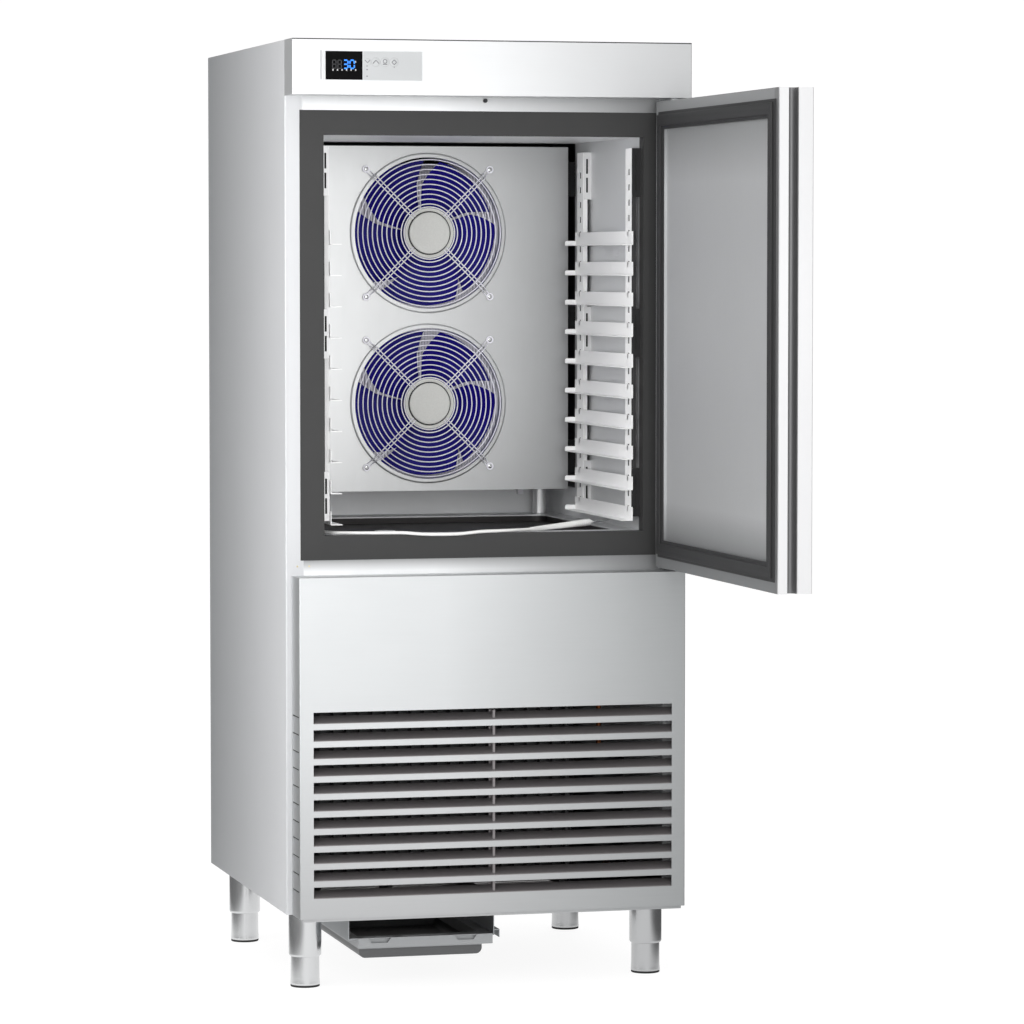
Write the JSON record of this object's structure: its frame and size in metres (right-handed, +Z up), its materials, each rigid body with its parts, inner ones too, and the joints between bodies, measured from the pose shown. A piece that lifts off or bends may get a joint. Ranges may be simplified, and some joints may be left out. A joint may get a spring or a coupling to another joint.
{
  "type": "blast chiller",
  "caption": "Upright stainless blast chiller: insulated chamber with tray slides and guarded fans, hinged door, louvred condensing-unit compartment, adjustable legs.",
  "frame": {"origin": "on the floor, at the centre of the rectangle of the four feet", "axes": "+Z up, +X to the right seen from the front, +Y towards the back"},
  "size_m": [0.795, 1.576, 1.8335],
  "materials": {
    "brushed_steel": "satin",
    "bright_steel": "satin",
    "side_steel": "satin",
    "grey_plate": "satin",
    "chrome_steel": "gloss",
    "dark_plastic": "matte",
    "gasket_rubber": "matte",
    "white_plastic": "satin",
    "controller_plastic": "satin",
    "display_glass": "gloss",
    "keypad_film": "satin",
    "foam": "matte",
    "drain_plastic": "matte",
    "motor_silver": "satin",
    "fan_paint": "satin",
    "black_paint": "satin",
    "fan_black": "satin",
    "coil_aluminium": "satin",
    "copper": "satin",
    "wire_chrome": "gloss",
    "box_plastic": "matte"
  },
  "bodies": {
    "cabinet": {"left_side_panel": "side_steel", "right_side_panel": "side_steel", "rear_panel": "grey_plate", "rear_grille": "grey_plate", "top_panel": "brushed_steel", "top_cover": "brushed_steel", "base_pan": "grey_plate", "front_rails": "brushed_steel", "door_frame": "dark_plastic", "cell_plates": "grey_plate", "insulation": "foam", "chamber_liner": "brushed_steel", "drain_pipe": "drain_plastic", "fascia": "bright_steel", "controller_housing": "controller_plastic", "display_window": "display_glass", "keypad_film": "keypad_film", "electrical_box": "box_plastic", "lower_panel": "brushed_steel", "louvre_blades": "side_steel", "fan_baffle": "brushed_steel", "upper_fan_guard": "wire_chrome", "lower_fan_guard": "wire_chrome", "upper_fan_motor": "motor_silver", "lower_fan_motor": "motor_silver", "evaporator": "coil_aluminium", "left_uprights": "bright_steel", "right_uprights": "bright_steel", "wall_brackets": "bright_steel", "left_tray_slides": "bright_steel", "right_tray_slides": "bright_steel", "hinge_brackets": "bright_steel", "screws": "chrome_steel", "door_sensor": "dark_plastic", "condenser_coil": "coil_aluminium", "condenser_shroud": "grey_plate", "condenser_fan_motor": "black_paint", "compressor": "black_paint", "liquid_receiver": "black_paint", "refrigerant_pipes": "copper", "leg_tubes": "chrome_steel", "tray_rails": "grey_plate", "probe_gland": "white_plastic", "probe_cable": "white_plastic", "probe_handle": "white_plastic", "probe_needle": "chrome_steel"},
    "door": {"door_skin": "brushed_steel", "door_inner_panel": "brushed_steel", "door_foam": "foam", "door_gasket": "gasket_rubber", "door_grip": "bright_steel", "hinge_bushes": "dark_plastic"},
    "upper_fan": {"upper_fan_rotor": "fan_paint"},
    "lower_fan": {"lower_fan_rotor": "fan_paint"},
    "condenser_fan": {"condenser_fan_rotor": "fan_black"},
    "condensate_drawer": {"condensate_tray": "side_steel"},
    "foot_front_left": {"foot_front_left": "chrome_steel"},
    "foot_front_right": {"foot_front_right": "chrome_steel"},
    "foot_rear_left": {"foot_rear_left": "chrome_steel"},
    "foot_rear_right": {"foot_rear_right": "chrome_steel"}
  },
  "joints": [
    {"name": "door_hinge", "type": "hinge", "parent": "cabinet", "child": "door", "pos_m": [0.371, -0.411, 1.265], "axis": [0, 0, 1], "range_deg": [-90, 20]},
    {"name": "upper_fan_spin", "type": "hinge", "parent": "cabinet", "child": "upper_fan", "pos_m": [0, 0.103, 1.46582], "axis": [0, 1, 0], "continuous": true},
    {"name": "lower_fan_spin", "type": "hinge", "parent": "cabinet", "child": "lower_fan", "pos_m": [0, 0.103, 1.11901], "axis": [0, 1, 0], "continuous": true},
    {"name": "condenser_fan_spin", "type": "hinge", "parent": "cabinet", "child": "condenser_fan", "pos_m": [-0.07, -0.172, 0.38], "axis": [0, 1, 0], "continuous": true},
    {"name": "condensate_drawer_slide", "type": "slide", "parent": "cabinet", "child": "condensate_drawer", "axis": [0, -1, 0], "range_m": [0, 0.36]},
    {"name": "foot_front_left_screw", "type": "slide", "parent": "cabinet", "child": "foot_front_left", "axis": [0, 0, -1], "range_m": [0, 0.03]},
    {"name": "foot_front_right_screw", "type": "slide", "parent": "cabinet", "child": "foot_front_right", "axis": [0, 0, -1], "range_m": [0, 0.03]},
    {"name": "foot_rear_left_screw", "type": "slide", "parent": "cabinet", "child": "foot_rear_left", "axis": [0, 0, -1], "range_m": [0, 0.03]},
    {"name": "foot_rear_right_screw", "type": "slide", "parent": "cabinet", "child": "foot_rear_right", "axis": [0, 0, -1], "range_m": [0, 0.03]}
  ]
}
